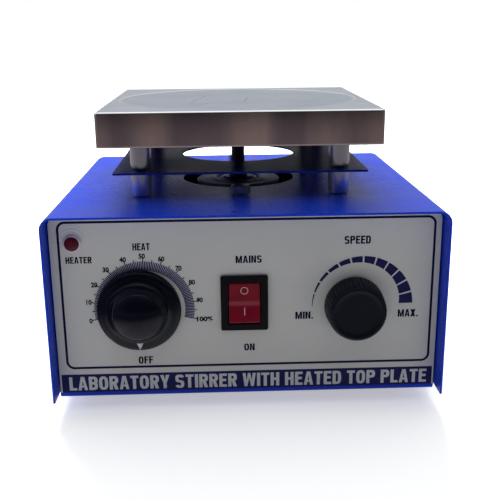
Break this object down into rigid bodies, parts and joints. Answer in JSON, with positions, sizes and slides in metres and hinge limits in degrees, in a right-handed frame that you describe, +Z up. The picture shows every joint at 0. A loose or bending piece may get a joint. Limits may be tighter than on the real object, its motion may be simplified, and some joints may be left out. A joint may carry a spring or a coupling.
{
  "type": "magnetic stirrer",
  "caption": "Magnetic stirrer with square heated plate on pillars over a folded blue case; heat knob, speed knob, rocker switch and lamp on the front panel.",
  "frame": {"origin": "bottom centre of the object's box, on the surface the feet stand on", "axes": "+Z up, front panel faces -Y, +X to the right as seen from the front"},
  "size_m": [0.216, 0.199, 0.1634],
  "materials": {
    "blue_enamel": "glossy ultramarine powder coat with a slight orange peel",
    "facia_print": null,
    "stainless": "bright rolled stainless with light scuffs",
    "plated_steel": "zinc plated",
    "dark_steel": "blackened steel",
    "aluminium": "machined",
    "brass": "turned",
    "black_bakelite": "moulded, glossy",
    "black_plastic": "moulded, satin",
    "red_plastic": "translucent red, satin gloss",
    "lamp_red": "dark translucent red",
    "rubber": "matte",
    "mica": "laminated mica",
    "mineral_board": "fibrous board",
    "ferrite": "ground",
    "board_green": "solder mask",
    "porcelain": "glazed",
    "sleeving": "woven glass sleeve"
  },
  "bodies": {
    "case": {"cover": "blue_enamel", "chassis": "blue_enamel", "facia_plate": "facia_print", "heat_shield": "blue_enamel", "hot_plate": "stainless", "heater_element": "mica", "heater_insulation": "mineral_board", "heater_backing_plate": "plated_steel", "heat_regulator": "black_bakelite", "regulator_nut": "brass", "switch_housing": "black_plastic", "speed_potentiometer": "dark_steel", "potentiometer_nut": "plated_steel", "lamp_body": "plated_steel", "lamp_lens": "lamp_red", "motor": "plated_steel", "motor_bracket": "dark_steel", "bracket_bolt_front": "plated_steel", "bracket_bolt_rear": "plated_steel", "speed_control_board": "board_green", "triac_heatsink": "aluminium", "terminal_block": "porcelain", "mains_inlet": "black_plastic", "inlet_screw_left": "plated_steel", "inlet_screw_right": "plated_steel", "fuse_holder": "black_plastic", "heater_lead": "sleeving", "motor_lead": "black_plastic", "lead_grommet": "rubber", "foot_front_left": "rubber", "cover_screw_front_left": "plated_steel", "lower_spacer_front_left": "stainless", "upper_spacer_front_left": "stainless", "stack_bolt_front_left": "plated_steel", "foot_front_right": "rubber", "cover_screw_front_right": "plated_steel", "lower_spacer_front_right": "stainless", "upper_spacer_front_right": "stainless", "stack_bolt_front_right": "plated_steel", "foot_rear_left": "rubber", "cover_screw_rear_left": "plated_steel", "lower_spacer_rear_left": "stainless", "upper_spacer_rear_left": "stainless", "stack_bolt_rear_left": "plated_steel", "foot_rear_right": "rubber", "cover_screw_rear_right": "plated_steel", "lower_spacer_rear_right": "stainless", "upper_spacer_rear_right": "stainless", "stack_bolt_rear_right": "plated_steel"},
    "heat_knob_and_spindle": {"heat_knob": "black_bakelite", "regulator_spindle": "brass"},
    "speed_knob_and_shaft": {"speed_knob": "black_plastic", "potentiometer_shaft": "aluminium"},
    "rocker": {"switch_rocker": "red_plastic"},
    "rotor": {"motor_shaft": "plated_steel", "shaft_coupling": "aluminium", "drive_shaft": "dark_steel", "magnet_holder": "aluminium", "drive_magnet_north": "ferrite", "drive_magnet_south": "ferrite"}
  },
  "joints": [
    {"name": "heat_knob_turn", "type": "hinge", "parent": "case", "child": "heat_knob_and_spindle", "pos_m": [-0.0584, -0.0825, 0.06], "axis": [0, 1, 0], "range_deg": [0, 282]},
    {"name": "speed_knob_turn", "type": "hinge", "parent": "case", "child": "speed_knob_and_shaft", "pos_m": [0.0579, -0.0825, 0.06], "axis": [0, 1, 0], "range_deg": [0, 270]},
    {"name": "mains_rocker", "type": "hinge", "parent": "case", "child": "rocker", "pos_m": [-0.0017, -0.082, 0.0627], "axis": [1, 0, 0], "range_deg": [0, 26]},
    {"name": "rotor_spin", "type": "hinge", "parent": "case", "child": "rotor", "pos_m": [-0.002, 0.0135, 0.1], "axis": [0, 0, 1], "continuous": true}
  ]
}
